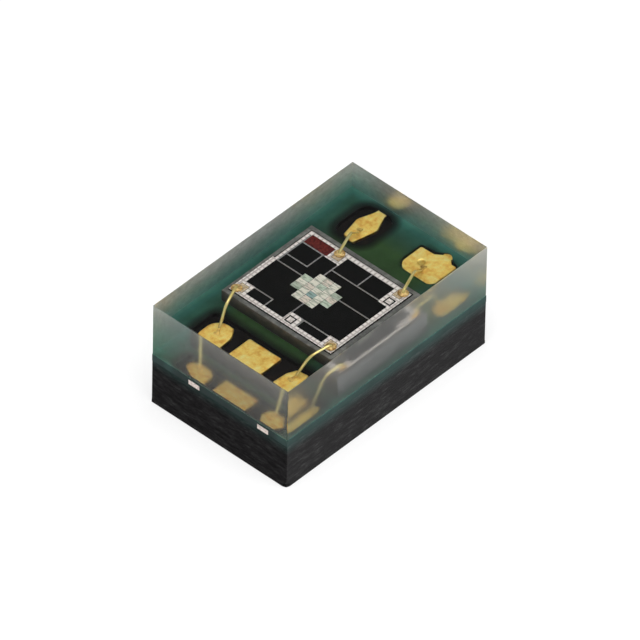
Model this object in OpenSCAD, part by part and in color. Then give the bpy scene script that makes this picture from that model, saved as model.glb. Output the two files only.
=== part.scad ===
// Clear-moulded UV light sensor: a silicon chip wire-bonded on a laminate substrate.
// All sizes are in millimetres. Origin at the middle of the underside, X along the long side.

/* [Package] */
// Length of the package along X
body_l = 2.0; // [1.9:0.05:2.4]
// Width of the package along Y
body_w = 1.25; // [1.2:0.05:1.6]
// Height of the whole package
body_h = 0.90; // [0.82:0.01:1.2]

/* [Substrate] */
// Height of the copper terminals on the underside
terminal_t = 0.030; // [0.025:0.005:0.045]
// How far the terminals stand proud of the lower solder mask
terminal_proud = 0.005; // [0.005:0.001:0.015]
// Height of the top face of the laminate
core_top = 0.390; // [0.3:0.01:0.4]
// Thickness of the top copper with its gold plating
copper_t = 0.040; // [0.03:0.005:0.05]
// Thickness of the upper solder mask above the laminate
mask_t = 0.060; // [0.055:0.005:0.07]
// Length of a terminal along X
terminal_l = 0.50; // [0.4:0.01:0.52]
// Width of a terminal along Y
terminal_w = 0.40; // [0.39:0.01:0.42]
// Distance from a terminal to the package's end face
terminal_inset_x = 0.05; // [0.04:0.01:0.08]
// Distance from a terminal to the package's side face
terminal_inset_y = 0.05; // [0.05:0.005:0.06]
// Corner cut that marks terminal one
terminal_mark = 0.12; // [0.08:0.01:0.15]
// Gap between a terminal and the lower solder mask
terminal_gap = 0.025; // [0.015:0.005:0.03]
// Diameter of a filled via
via_d = 0.10; // [0.08:0.01:0.11]

/* [Lands] */
// Width of the plating stubs on the left and front lands, where the saw cut them
stub_w = 0.10; // [0.08:0.01:0.12]
// Width of the plating stubs on the back and right lands
stub_thin_w = 0.076; // [0.06:0.002:0.08]
// Distance of the left opening from the end face
window_left_in = 0.045; // [0.03:0.005:0.06]
// Length of the left opening along X
window_left_l = 0.390; // [0.38:0.01:0.42]
// Distance of the left opening from the side face in front
window_left_low = 0.105; // [0.09:0.005:0.115]
// Distance of the left opening from the side face behind
window_left_high = 0.185; // [0.16:0.005:0.2]
// Corner radius of the left opening
window_left_r = 0.050; // [0.03:0.01:0.08]
// Length of the opening around the back land
window_back_l = 0.376; // [0.37:0.002:0.39]
// Width of the opening around the back land
window_back_w = 0.290; // [0.26:0.01:0.32]
// Corner radius of the opening around the back land
window_back_r = 0.100; // [0.05:0.01:0.12]
// Gap between the right land and the edge of its opening
window_right_gap = 0.012; // [0.01:0.001:0.018]
// Distance of the square land from the end face
square_in = 0.080; // [0.07:0.005:0.09]
// Size of the square land along X
square_l = 0.326; // [0.3:0.002:0.33]
// Size of the square land along Y
square_w = 0.296; // [0.26:0.002:0.306]
// Corner radius of the square land
square_r = 0.014; // [0.01:0.002:0.04]
// Diameter of the dimple over the right via
dimple_d = 0.070; // [0.05:0.005:0.08]
// Depth of that dimple
dimple_t = 0.006; // [0.004:0.001:0.01]

/* [Chip] */
// Size of the chip along X
die_l = 0.90; // [0.88:0.01:0.92]
// Size of the chip along Y
die_w = 1.01; // [1:0.01:1.03]
// Distance of the chip's middle from the package's middle along X
die_x = -0.006; // [-0.02:0.002:0.02]
// Distance of the chip's middle from the package's middle along Y
die_y = -0.014; // [-0.02:0.002:0.03]
// Thickness of the silicon
die_t = 0.167; // [0.15:0.001:0.2]
// Thickness of the glue under the chip
glue_t = 0.010; // [0.008:0.001:0.02]
// Thickness of the dark circuit layer
circuit_t = 0.008; // [0.006:0.001:0.01]
// Thickness of the metal, the pads and the cells on the circuit layer
film_t = 0.004; // [0.003:0.001:0.006]
// Distance of the metal ring from the chip's edge
ring_in = 0.044; // [0.035:0.001:0.048]
// Distance of the ring from the chip's edge at the top, above its step
ring_top_in = 0.025; // [0.02:0.001:0.03]
// Height of the step in the ring's top
ring_step = 0.018; // [0.01:0.001:0.022]
// Width of the metal ring along the chip's edge
ring_w = 0.038; // [0.035:0.001:0.042]
// Width of the ring's upper bar past its step
ring_upper_w = 0.033; // [0.03:0.001:0.036]
// Width of the narrow part of the ring, at the upper right
ring_narrow_w = 0.024; // [0.022:0.001:0.03]
// How far the dark circuit layer reaches past the ring
circuit_rim = 0.008; // [0.004:0.001:0.012]
// Width of the thin metal lines
line_w = 0.009; // [0.008:0.001:0.014]
// Width of the bars that frame the bond pads
frame_w = 0.024; // [0.016:0.001:0.026]
// Gap between a bond pad and its frame
pad_gap = 0.004; // [0.003:0.001:0.006]
// Size of a square probe pad
probe_size = 0.044; // [0.03:0.002:0.048]
// Gap between a probe pad and the metal around it
probe_gap = 0.012; // [0.008:0.001:0.013]
// Width of the grooves between the photodiode cells
groove_w = 0.003; // [0.002:0.001:0.004]

/* [Bond wires] */
// Diameter of the gold wire
wire_d = 0.022; // [0.018:0.001:0.025]
// Diameter of a squashed ball
ball_d = 0.080; // [0.07:0.002:0.082]
// Height of a squashed ball
ball_h = 0.022; // [0.014:0.001:0.024]
// Height of the loop's top above the chip's metal
loop_h = 0.055; // [0.05:0.001:0.07]
// Radius of the bends at the ball and at the land
bend_r = 0.024; // [0.02:0.001:0.028]
// Radius of the knee between them
knee_r = 0.100; // [0.06:0.01:0.12]
// Width of the flattened end of the wire
stitch_w = 0.048; // [0.04:0.002:0.06]
// Thickness of the flattened end of the wire
stitch_t = 0.007; // [0.005:0.001:0.01]

/* [Hidden] */
$fn = 48;

// Heights of the layers
copper_top = core_top + copper_t;
mask_top = core_top + mask_t;
die_z = mask_top + glue_t;
circuit_z = die_z + die_t;
film_z = circuit_z + circuit_t;
film_top = film_z + film_t;
loop_z = film_top + loop_h;

// Ends and sides of the package
end_x = body_l / 2;
side_y = body_w / 2;

// A place by its distances from the nearest end face and side face, on end sx and side sy
function place(sx, sy, from_end, from_side) = [sx * (end_x - from_end), sy * (side_y - from_side)];

// Places of the vias; each lies in its land and over its terminal
VIA_LEFT = place(-1, 1, 0.230, 0.340);
VIA_FRONT = place(-1, -1, 0.230, 0.230);
VIA_BACK = place(1, 1, 0.215, 0.331);
VIA_RIGHT = place(1, -1, 0.228, 0.394);

// Outlines of the lands: each is the outline around circles, written as [place, radius]. The last
// circle of the left, front and back lands starts the stub.
LEAF_LEFT = [
    [place(-1, 1, 0.240, 0.335), 0.107],
    [place(-1, 1, 0.300, 0.333), 0.102],
    [place(-1, 1, 0.388, 0.378), 0.013],
    [place(-1, 1, 0.100, 0.388), 0.056]
];
LEAF_FRONT = [
    [place(-1, -1, 0.215, 0.222), 0.096],
    [place(-1, -1, 0.310, 0.265), 0.050],
    [place(-1, -1, 0.384, 0.269), 0.014],
    [place(-1, -1, 0.392, 0.195), 0.018],
    [place(-1, -1, 0.105, 0.226), 0.066]
];
LEAF_BACK = [
    [place(1, 1, 0.215, 0.331), 0.090],
    [place(1, 1, 0.381, 0.290), 0.014],
    [place(1, 1, 0.397, 0.366), 0.014],
    [place(1, 1, 0.085, 0.329), 0.040]
];
LEAF_RIGHT = [
    [place(1, -1, 0.282, 0.416), 0.084],
    [place(1, -1, 0.130, 0.484), 0.015],
    [place(1, -1, 0.120, 0.199), 0.014],
    [place(1, -1, 0.312, 0.235), 0.050]
];
// The right land has a lobe at its outer end
LOBE_RIGHT = [
    [place(1, -1, 0.120, 0.374), 0.014],
    [place(1, -1, 0.122, 0.233), 0.014],
    [place(1, -1, 0.074, 0.300), 0.022]
];
// Middles of the opening around the back land and of the square land
WINDOW_BACK = place(1, 1, 0.238, 0.331);
square_y = -0.048;
SQUARE = [-end_x + square_in + square_l / 2, square_y];

// Width of the dimple's floor as a share of its mouth
dimple_floor = 0.6;

// The chip's edges and its metal ring, measured from the chip's middle
ring_x = die_l / 2 - ring_in;
ring_bottom = -die_w / 2 + ring_in;
ring_top = die_w / 2 - ring_top_in;
ring_low_top = ring_top - ring_step;
ring_step_x = 0.035;
// Length of the bond pad frames along X and along Y; the right one is shorter
frame_l = 0.130;
frame_right_l = 0.120;
frame_h = 0.122;
// Where the back frame starts along Y
frame_back_y = 0.095;
// Bond pad frames as [x from, y from, x to, y to]; the outer sides lie on the ring
FRAME_LEFT = [-ring_x, ring_top - frame_h, -ring_x + frame_l, ring_top];
FRAME_FRONT = [-ring_x, ring_bottom, -ring_x + frame_l, ring_bottom + frame_h];
FRAME_BACK = [ring_x - frame_l, frame_back_y, ring_x, frame_back_y + frame_h];
FRAME_RIGHT = [ring_x - frame_right_l, ring_bottom, ring_x, ring_bottom + frame_h];
FRAMES = [FRAME_LEFT, FRAME_FRONT, FRAME_BACK, FRAME_RIGHT];
// Sizes of the blocks that hold the probe pads, and where the left one starts along Y
block_left_l = 0.122;
block_left_h = 0.127;
block_left_y = -0.112;
block_right_l = 0.088;
BLOCK_LEFT = [-ring_x, block_left_y, -ring_x + block_left_l, block_left_y + block_left_h];
BLOCK_RIGHT = [FRAME_RIGHT[0] - block_right_l, ring_bottom, FRAME_RIGHT[0] + frame_w, FRAME_RIGHT[3]];
// Middles of the probe pads, by their distances from the ring and from the right block's edges
probe_left_in = 0.060;
probe_left_y = -0.036;
probe_right_in = 0.052;
probe_right_up = 0.062;
PROBE_LEFT = [-ring_x + probe_left_in, probe_left_y];
PROBE_RIGHT = [BLOCK_RIGHT[0] + probe_right_in, ring_bottom + probe_right_up];
// Columns and rows of the photodiode cells
COLUMNS = [-0.166, -0.094, -0.042, 0.009, 0.061, 0.131];
ROWS = [-0.142, -0.068, -0.003, 0.062, 0.128, 0.205];
// Middles of the thin lines along X and along Y
line_mid_x = 0.0225;
line_top_x = 0.0290;
line_box_x = 0.1195;
line_field_x = 0.209;
line_box_y = 0.2415;
line_left_y = 0.1885;
line_array_y = 0.0090;
line_back_y = 0.099;
line_right_y = -0.1355;
// Gap between the red filter patch and the metal around it
filter_gap = 0.002;

// Where each wire starts, by its distances from the ring's corner or the back frame's corner
ball_left_in = [0.033, 0.041];
ball_front_in = [0.046, 0.040];
ball_back_in = [0.042, 0.070];
ball_right_in = [0.034, 0.046];
BALL_LEFT = [die_x - ring_x + ball_left_in[0], die_y + ring_top - ball_left_in[1]];
BALL_FRONT = [die_x - ring_x + ball_front_in[0], die_y + ring_bottom + ball_front_in[1]];
BALL_BACK = [die_x + ring_x - ball_back_in[0], die_y + frame_back_y + ball_back_in[1]];
BALL_RIGHT = [die_x + ring_x - ball_right_in[0], die_y + ring_bottom + ball_right_in[1]];
// Where each wire ends on its land
STITCH_LEFT = place(-1, 1, 0.324, 0.316);
STITCH_FRONT = place(-1, -1, 0.335, 0.238);
STITCH_BACK = place(1, 1, 0.320, 0.345);
STITCH_RIGHT = place(1, -1, 0.295, 0.335);
// The knee where the wire turns down, as a share of the span, and its drop from the loop's top
knee_share = 0.60;
knee_drop = 0.020;
// How much narrower the squashed ball is at its foot and its top than in the middle
ball_bulge = 0.010;
// The flattened end of a wire, as [way past the stitch's middle, width, thickness]
STITCH = [
    [0.030, 0.7 * stitch_w, 1.6 * stitch_t],
    [0.042, stitch_w, stitch_t],
    [0.058, 0.8 * stitch_w, stitch_t / 2]
];
// Sides of a wire and steps along its bends and its ball
wire_sides = 10;
bend_steps = 5;
ball_steps = 3;

// Small overlap that lets a cutter pass through a face
cut = 0.01;

// A box given by two corners in plan, a height to start from and a thickness
module slab(b, z, t) {
    translate([b[0], b[1], z]) cube([b[2] - b[0], b[3] - b[1], t]);
}

// A rounded rectangle as a plate
module rounded_plate(l, w, r, t) {
    linear_extrude(t) {
        square([l - 2 * r, w], center = true);
        square([l, w - 2 * r], center = true);
        for (sx = [-1, 1], sy = [-1, 1]) {
            translate([sx * (l / 2 - r), sy * (w / 2 - r)]) circle(r);
        }
    }
}

// The outline around a land's circles, grown by g, as a plate
module leaf(circles, g, z, t) {
    translate([0, 0, z]) linear_extrude(t) hull() {
        for (c = circles) {
            translate(c[0]) circle(c[1] + g, $fn = 40);
        }
    }
}

// The narrow plating stub from a place in the land to the nearest end face
module stub(at, w) {
    from = at[0] < 0 ? -end_x : at[0];
    upto = at[0] < 0 ? at[0] : end_x;
    slab([from, at[1] - w / 2, upto, at[1] + w / 2], core_top, copper_t);
}

// Openings of the upper solder mask, from height z up by t
module window_left(z, t) {
    w = body_w - window_left_low - window_left_high;
    translate([-end_x + window_left_in + window_left_l / 2, -side_y + window_left_low + w / 2, z])
        rounded_plate(window_left_l, w, window_left_r, t);
}

module window_back(z, t) {
    translate([WINDOW_BACK[0], WINDOW_BACK[1], z])
        rounded_plate(window_back_l, window_back_w, window_back_r, t);
}

module window_right(z, t) {
    leaf(LEAF_RIGHT, window_right_gap, z, t);
    leaf(LOBE_RIGHT, window_right_gap, z, t);
}

module windows(z, t) {
    window_left(z, t);
    window_back(z, t);
    window_right(z, t);
}

// Lands
module land_left() color("gold") {
    leaf(LEAF_LEFT, 0, core_top, copper_t);
    stub(LEAF_LEFT[3][0], stub_w);
}

module land_front() color("gold") {
    leaf(LEAF_FRONT, 0, core_top, copper_t);
    stub(LEAF_FRONT[4][0], stub_w);
}

module land_square() color("gold") {
    translate([SQUARE[0], SQUARE[1], core_top]) rounded_plate(square_l, square_w, square_r, copper_t);
}

module land_back() color("gold") {
    leaf(LEAF_BACK, 0, core_top, copper_t);
    stub(LEAF_BACK[3][0], stub_thin_w);
}

module land_right() color("gold") difference() {
    union() {
        leaf(LEAF_RIGHT, 0, core_top, copper_t);
        leaf(LOBE_RIGHT, 0, core_top, copper_t);
        stub(LOBE_RIGHT[2][0], stub_thin_w);
    }
    dimple();
}

// A shallow cone, as wide as stated where it meets the land's top; it reaches as far above the top
module dimple() {
    floor_d = dimple_floor * dimple_d;
    translate([VIA_RIGHT[0], VIA_RIGHT[1], copper_top - dimple_t])
        cylinder(h = dimple_t + dimple_t, d1 = floor_d, d2 = dimple_d + dimple_d - floor_d);
}

module lands() {
    land_left();
    land_front();
    land_square();
    land_back();
    land_right();
}

// Substrate
module via_hole(at, z, t) {
    translate([at[0], at[1], z]) cylinder(h = t, d = via_d);
}

module via(at) {
    color("peru") via_hole(at, terminal_t, core_top - terminal_t);
}

module substrate_core() color([0.13, 0.13, 0.13]) difference() {
    slab([-end_x, -side_y, end_x, side_y], terminal_t, core_top - terminal_t);
    for (at = [VIA_LEFT, VIA_FRONT, VIA_BACK, VIA_RIGHT]) {
        via_hole(at, terminal_t - cut, core_top - terminal_t + 2 * cut);
    }
}

module top_mask() color([0.13, 0.33, 0.22]) difference() {
    slab([-end_x, -side_y, end_x, side_y], core_top, mask_t);
    windows(core_top - cut, mask_t + 2 * cut);
    lands();
}

// A terminal on end sx and side sy; the first one has a cut corner; g grows it
module terminal(sx, sy, marked, g, z, t) {
    l = terminal_l + 2 * g;
    w = terminal_w + 2 * g;
    m = marked ? terminal_mark : 0;
    cx = sx * (end_x - terminal_inset_x - terminal_l / 2);
    cy = sy * (side_y - terminal_inset_y - terminal_w / 2);
    translate([cx, cy, z]) linear_extrude(t) polygon([
        [-sx * (l / 2 - m), -sy * w / 2], [sx * l / 2, -sy * w / 2], [sx * l / 2, sy * w / 2],
        [-sx * l / 2, sy * w / 2], [-sx * l / 2, -sy * (w / 2 - m)]
    ]);
}

module terminals(g, z, t) {
    terminal(-1, 1, true, g, z, t);
    terminal(-1, -1, false, g, z, t);
    terminal(1, 1, false, g, z, t);
    terminal(1, -1, false, g, z, t);
}

module bottom_mask() color([0.10, 0.28, 0.19]) difference() {
    slab([-end_x, -side_y, end_x, side_y], terminal_proud, terminal_t - terminal_proud);
    terminals(terminal_gap, terminal_proud - cut, terminal_t + 2 * cut);
}

// Chip, drawn around its own middle
module on_die() {
    translate([die_x, die_y, 0]) children();
}

module die_block(z, t) {
    on_die() translate([-die_l / 2, -die_w / 2, z]) cube([die_l, die_w, t]);
}

// A thin metal line between two points of one row or column
module line_v(x, y0, y1) {
    slab([x - line_w / 2, y0, x + line_w / 2, y1], film_z, film_t);
}

module line_h(y, x0, x1) {
    slab([x0, y - line_w / 2, x1, y + line_w / 2], film_z, film_t);
}

// The ring along the chip's edge, with its step at the top and its narrow part at the upper right
module ring() difference() {
    stepped_plate(0, film_z, film_t);
    hollow([-ring_x + ring_w, ring_bottom + ring_w, line_top_x, ring_top - ring_w]);
    hollow([-ring_x + ring_w, ring_bottom + ring_w, ring_x - ring_w, ring_low_top - ring_w]);
    hollow([line_top_x, FRAME_BACK[3], ring_x - ring_narrow_w, ring_low_top - ring_upper_w]);
}

// The outline of the ring, grown by g, as a plate
module stepped_plate(g, z, t) {
    slab([-ring_x - g, ring_bottom - g, ring_step_x + g, ring_top + g], z, t);
    slab([-ring_x - g, ring_bottom - g, ring_x + g, ring_low_top + g], z, t);
}

// The dark layer under the metal; it leaves the saw's margin of the silicon bare
module circuit() {
    on_die() stepped_plate(circuit_rim, circuit_z, circuit_t);
}

// A cutter through the films, given by two corners in plan
module hollow(b) {
    slab(b, film_z - cut, film_t + 2 * cut);
}

// The field inside a pad frame, less a gap g
function inside(f, g) = [f[0] + frame_w + g, f[1] + frame_w + g, f[2] - frame_w - g, f[3] - frame_w - g];

// A square around a probe pad's middle, grown by g
function around(at, g) = let (h = probe_size / 2 + g) [at[0] - h, at[1] - h, at[0] + h, at[1] + h];

// The lines end inside the frames and the ring that they join, half a frame's bar deep
module lines() {
    in = frame_w / 2;
    line_v(line_mid_x, ring_bottom + in, ROWS[0]);
    line_v(line_top_x, ROWS[5], ring_low_top - in);
    line_v(FRAME_LEFT[2] - line_w / 2, line_left_y - line_w / 2, FRAME_LEFT[1] + in);
    line_h(line_left_y, -ring_x + in, FRAME_LEFT[2]);
    line_h(line_array_y, BLOCK_LEFT[2] - in, COLUMNS[0]);
    line_v(BLOCK_LEFT[2] - line_w / 2, FRAME_FRONT[3] - in, BLOCK_LEFT[1] + in);
    line_v(line_box_x, line_box_y - line_w / 2, ring_low_top - in);
    line_h(line_box_y, line_box_x, FRAME_BACK[0] + line_w);
    line_v(FRAME_BACK[0] + line_w / 2, FRAME_BACK[3] - in, ring_low_top - in);
    line_h(line_back_y, COLUMNS[5], FRAME_BACK[0] + in);
    line_v(line_field_x, FRAME_RIGHT[3] - in, line_back_y);
    line_h(line_right_y, line_field_x, ring_x - in);
}

module metal_grid() color([0.88, 0.85, 0.80]) on_die() difference() {
    union() {
        ring();
        lines();
        for (f = concat(FRAMES, [BLOCK_LEFT, BLOCK_RIGHT])) {
            slab(f, film_z, film_t);
        }
    }
    for (f = FRAMES) {
        hollow(inside(f, 0));
    }
    hollow(around(PROBE_LEFT, probe_gap));
    hollow(around(PROBE_RIGHT, probe_gap));
}

// A bond pad stands free in its frame
module bond_pad(f) color([0.80, 0.78, 0.74]) on_die() {
    slab(inside(f, pad_gap), film_z, film_t);
}

// A square probe pad
module probe_pad(at) color([0.88, 0.85, 0.80]) on_die() {
    slab(around(at, 0), film_z, film_t);
}

// A cutter for the grooves, half as deep as the cells are thick
module groove(b) {
    slab(b, film_z + film_t / 2, film_t);
}

// A cross of cells: the middle columns are longer than the outer ones
module photodiode_array() color([0.74, 0.79, 0.70]) on_die() difference() {
    union() {
        slab([COLUMNS[1], ROWS[0], COLUMNS[4], ROWS[5]], film_z, film_t);
        slab([COLUMNS[0], ROWS[1], COLUMNS[5], ROWS[4]], film_z, film_t);
    }
    for (i = [1:4]) {
        groove([COLUMNS[i] - groove_w / 2, ROWS[0] - cut, COLUMNS[i] + groove_w / 2, ROWS[5] + cut]);
        groove([COLUMNS[0] - cut, ROWS[i] - groove_w / 2, COLUMNS[5] + cut, ROWS[i] + groove_w / 2]);
    }
}

// The filter patch fills the field between the line, the ring's narrow part and the pad frame
module red_filter() color([0.40, 0.16, 0.14]) on_die() {
    right = ring_x - ring_narrow_w - filter_gap;
    top = ring_low_top - ring_upper_w - filter_gap;
    slab([FRAME_BACK[0] + line_w + filter_gap, FRAME_BACK[3] + filter_gap, right, top], film_z, film_t);
}

// Bond wires. Each is one sweep of rings in the upright plane through its ball and its stitch, and
// is then turned into place. A ring is [way along the plane, height, slope of the wire, half width
// across the plane, half height square to the wire].
function unit(a) = [cos(a), sin(a)];

function ring_at(p, slope, hw, hh) = [p[0], p[1], slope, hw, hh];

// Rings around a bend of radius r at corner v, from slope a to slope b
function bend(v, a, b, r) = let (
    turn = b > a ? 90 : -90,
    from = v - r * tan(abs(a - b) / 2) * unit(a),
    middle = from + r * unit(a + turn)
) [for (k = [0:bend_steps])
    let (c = a + (b - a) * k / bend_steps)
    ring_at(middle - r * unit(c + turn), c, wire_d / 2, wire_d / 2)];

// Rings of the squashed ball, from its flat foot on the pad up to its neck
ball_rings = [for (k = [0:ball_steps])
    let (r = ball_d / 2 - ball_bulge * pow(2 * k / ball_steps - 1, 2))
    ring_at([0, film_top + ball_h * k / ball_steps], 90, r, r)];

// Rings of the flattened end on a land, fanned out and thinned
function stitch_rings(span) = [for (g = STITCH)
    ring_at([span + g[0], copper_top + g[2] / 2], 0, g[1] / 2, g[2] / 2)];

function wire_rings(span) = let (
    top = [0, loop_z],
    knee = [knee_share * span, loop_z - knee_drop],
    foot = [span, copper_top + wire_d / 2],
    a = atan2(knee[1] - top[1], knee[0] - top[0]),
    b = atan2(foot[1] - knee[1], foot[0] - knee[0])
) concat(
    ball_rings,
    bend(top, 90, a, bend_r),
    bend(knee, a, b, knee_r),
    bend(foot, b, 0, bend_r),
    stitch_rings(span)
);

module sweep(rings) {
    n = wire_sides;
    last = len(rings) - 1;
    points = [for (g = rings, k = [0:n - 1])
        let (across = g[3] * cos(360 * k / n), up = g[4] * sin(360 * k / n))
        [g[0] - up * sin(g[2]), across, g[1] + up * cos(g[2])]];
    sides = [for (j = [0:last - 1], k = [0:n - 1])
        [j * n + k, (j + 1) * n + k, (j + 1) * n + (k + 1) % n, j * n + (k + 1) % n]];
    start = [for (k = [0:n - 1]) k];
    end = [for (k = [n - 1:-1:0]) last * n + k];
    polyhedron(points, concat([start], sides, [end]));
}

// The whole wire from a ball to a stitch, given by their places in plan
module wire(from, upto) {
    way = upto - from;
    color("gold") translate([from[0], from[1], 0]) rotate([0, 0, atan2(way[1], way[0])])
        sweep(wire_rings(norm(way)));
}

module wires() {
    wire(BALL_LEFT, STITCH_LEFT);
    wire(BALL_FRONT, STITCH_FRONT);
    wire(BALL_BACK, STITCH_BACK);
    wire(BALL_RIGHT, STITCH_RIGHT);
}

// Everything on the chip's circuit layer
module films() {
    metal_grid();
    bond_pad(FRAME_LEFT);
    bond_pad(FRAME_FRONT);
    bond_pad(FRAME_BACK);
    bond_pad(FRAME_RIGHT);
    probe_pad(PROBE_LEFT);
    probe_pad(PROBE_RIGHT);
    photodiode_array();
    red_filter();
}

// The clear resin: a block over the mask, and what it fills in the openings, less all that it encloses
module clear_mould() color([0.85, 0.90, 0.90, 0.35]) difference() {
    union() {
        slab([-end_x, -side_y, end_x, side_y], mask_top, body_h - mask_top);
        windows(core_top, mask_t + cut);
    }
    lands();
    die_block(mask_top - cut, die_z - mask_top + die_t + cut);
    circuit();
    films();
    wires();
}

substrate_core();
top_mask();
bottom_mask();
land_left();
land_front();
land_square();
land_back();
land_right();
via(VIA_LEFT);  // via_left
via(VIA_FRONT);  // via_front
via(VIA_BACK);  // via_back
via(VIA_RIGHT);  // via_right
color("gold") terminal(-1, 1, true, 0, 0, terminal_t);  // terminal_left
color("gold") terminal(-1, -1, false, 0, 0, terminal_t);  // terminal_front
color("gold") terminal(1, 1, false, 0, 0, terminal_t);  // terminal_back
color("gold") terminal(1, -1, false, 0, 0, terminal_t);  // terminal_right
color([0.35, 0.36, 0.36]) die_block(mask_top, glue_t);  // die_attach
color([0.42, 0.43, 0.44]) die_block(die_z, die_t);  // silicon_die
color([0.09, 0.08, 0.09]) circuit();  // circuit_layer
metal_grid();
bond_pad(FRAME_LEFT);  // pad_left
bond_pad(FRAME_FRONT);  // pad_front
bond_pad(FRAME_BACK);  // pad_back
bond_pad(FRAME_RIGHT);  // pad_right
probe_pad(PROBE_LEFT);  // probe_pad_left
probe_pad(PROBE_RIGHT);  // probe_pad_right
photodiode_array();
red_filter();
wire(BALL_LEFT, STITCH_LEFT);  // wire_left
wire(BALL_FRONT, STITCH_FRONT);  // wire_front
wire(BALL_BACK, STITCH_BACK);  // wire_back
wire(BALL_RIGHT, STITCH_RIGHT);  // wire_right
clear_mould();
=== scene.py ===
import math

import bmesh
import bpy
from mathutils import Matrix, Vector, noise


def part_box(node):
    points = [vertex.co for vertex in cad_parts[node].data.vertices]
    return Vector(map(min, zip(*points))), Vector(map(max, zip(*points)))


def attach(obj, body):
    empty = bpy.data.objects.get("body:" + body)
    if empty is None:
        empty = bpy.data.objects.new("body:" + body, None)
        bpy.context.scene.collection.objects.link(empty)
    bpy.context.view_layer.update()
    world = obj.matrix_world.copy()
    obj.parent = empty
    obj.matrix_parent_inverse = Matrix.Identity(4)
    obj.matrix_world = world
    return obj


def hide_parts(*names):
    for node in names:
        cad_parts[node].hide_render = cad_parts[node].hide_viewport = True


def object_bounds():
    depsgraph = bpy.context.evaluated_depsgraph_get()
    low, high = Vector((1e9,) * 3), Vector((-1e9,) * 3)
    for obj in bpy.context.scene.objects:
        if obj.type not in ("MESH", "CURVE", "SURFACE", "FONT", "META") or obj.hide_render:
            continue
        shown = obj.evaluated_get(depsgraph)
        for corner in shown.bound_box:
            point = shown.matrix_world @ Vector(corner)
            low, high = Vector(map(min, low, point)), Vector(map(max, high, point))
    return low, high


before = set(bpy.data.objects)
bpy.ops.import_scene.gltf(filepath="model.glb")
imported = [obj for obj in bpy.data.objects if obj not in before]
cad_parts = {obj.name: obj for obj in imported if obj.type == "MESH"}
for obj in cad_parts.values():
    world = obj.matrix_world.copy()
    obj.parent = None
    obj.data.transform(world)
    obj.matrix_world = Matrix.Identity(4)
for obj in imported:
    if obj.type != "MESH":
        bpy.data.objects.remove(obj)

cad_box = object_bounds()

# Lengths below are in millimetres; MM turns them into the scene's metres
MM = 0.001
# Two places closer than SAME are one, and a corner that is NEAR a face lies on it
SAME = 0.0005
NEAR = 0.002


def mm_box(node):
    """The lowest and highest corner of a CAD node, in millimetres."""
    low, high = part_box(node)
    return Vector(low) / MM, Vector(high) / MM


package_low, package_high = (Vector(corner) / MM for corner in cad_box)
core_low, core_high = mm_box("substrate_core")
mask_low, mask_high = mm_box("top_mask")
die_low, die_high = mm_box("silicon_die")
film_low, film_high = mm_box("metal_grid")
die_middle = (die_low + die_high) / 2
land_top = mm_box("land_left")[1].z
end_x = package_high.x
side_y = package_high.y

# Vias, terminals and bond pads are named by the end or side that they belong to
SIDES = ("left", "front", "back", "right")
LANDS = ("land_left", "land_front", "land_square", "land_back", "land_right")
PROBE_PADS = ("probe_pad_left", "probe_pad_right")


# Camera

CAMERA_AZIMUTH = math.radians(48.126)
CAMERA_ELEVATION = math.radians(42.960)
CAMERA_ROLL = math.radians(1.2288)
CAMERA_DISTANCE = 120.0
CAMERA_LENS = 991.6
CAMERA_SENSOR = 36.0
# The nearest and the farthest thing in view, in metres
CAMERA_NEAR = 0.001
CAMERA_FAR = 10.0
# The package sits a little left of and below the middle of the picture
AIM_RIGHT = 0.0026
AIM_UP = 0.0308


def make_camera():
    """A camera far off with a long lens, looking down on the front left edge of the package."""
    flat = math.cos(CAMERA_ELEVATION)
    back = Vector((-math.sin(CAMERA_AZIMUTH) * flat, -math.cos(CAMERA_AZIMUTH) * flat,
                   math.sin(CAMERA_ELEVATION)))
    level = Vector((math.cos(CAMERA_AZIMUTH), -math.sin(CAMERA_AZIMUTH), 0))
    upright = back.cross(level)
    right = math.cos(CAMERA_ROLL) * level + math.sin(CAMERA_ROLL) * upright
    up = back.cross(right)
    centre = (package_low + package_high) / 2
    eye = centre + CAMERA_DISTANCE * back + AIM_RIGHT * right + AIM_UP * up
    data = bpy.data.cameras.new("photo_camera")
    data.lens = CAMERA_LENS
    data.sensor_width = CAMERA_SENSOR
    data.clip_start = CAMERA_NEAR
    data.clip_end = CAMERA_FAR
    camera = bpy.data.objects.new("photo_camera", data)
    turn = Matrix((right, up, back)).transposed()
    camera.matrix_world = Matrix.Translation(eye * MM) @ turn.to_4x4()
    bpy.context.collection.objects.link(camera)
    bpy.context.scene.camera = camera


make_camera()


# What the materials are made from

WHITE = (1.0, 1.0, 1.0)
BLACK = (0.0, 0.0, 0.0)


def new_material(name):
    """A material, its Principled shader, and the point that it shades in Object coordinates."""
    made = bpy.data.materials.new(name)
    made.use_nodes = True
    nodes = made.node_tree.nodes
    shader = next(n for n in nodes if n.type == "BSDF_PRINCIPLED")
    return made, shader, nodes.new("ShaderNodeTexCoord").outputs["Object"]


def plug(made, source, socket):
    """Joins an output to an input."""
    made.node_tree.links.new(source, socket)


def set_all(shader, values):
    """Sets what is the same all over the surface."""
    for socket, value in values.items():
        shader.inputs[socket].default_value = value


def add_noise(made, point, size, detail=4.0, roughness=0.55, stretch=(1, 1, 1)):
    """Noise whose lumps are about size millimetres, longer along an axis with a stretch over 1."""
    nodes = made.node_tree.nodes
    mapping = nodes.new("ShaderNodeMapping")
    mapping.inputs["Scale"].default_value = [1 / (size * MM * s) for s in stretch]
    texture = nodes.new("ShaderNodeTexNoise")
    texture.inputs["Scale"].default_value = 1.0
    texture.inputs["Detail"].default_value = detail
    texture.inputs["Roughness"].default_value = roughness
    plug(made, point, mapping.inputs["Vector"])
    plug(made, mapping.outputs["Vector"], texture.inputs["Vector"])
    return texture.outputs["Fac"]


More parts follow.
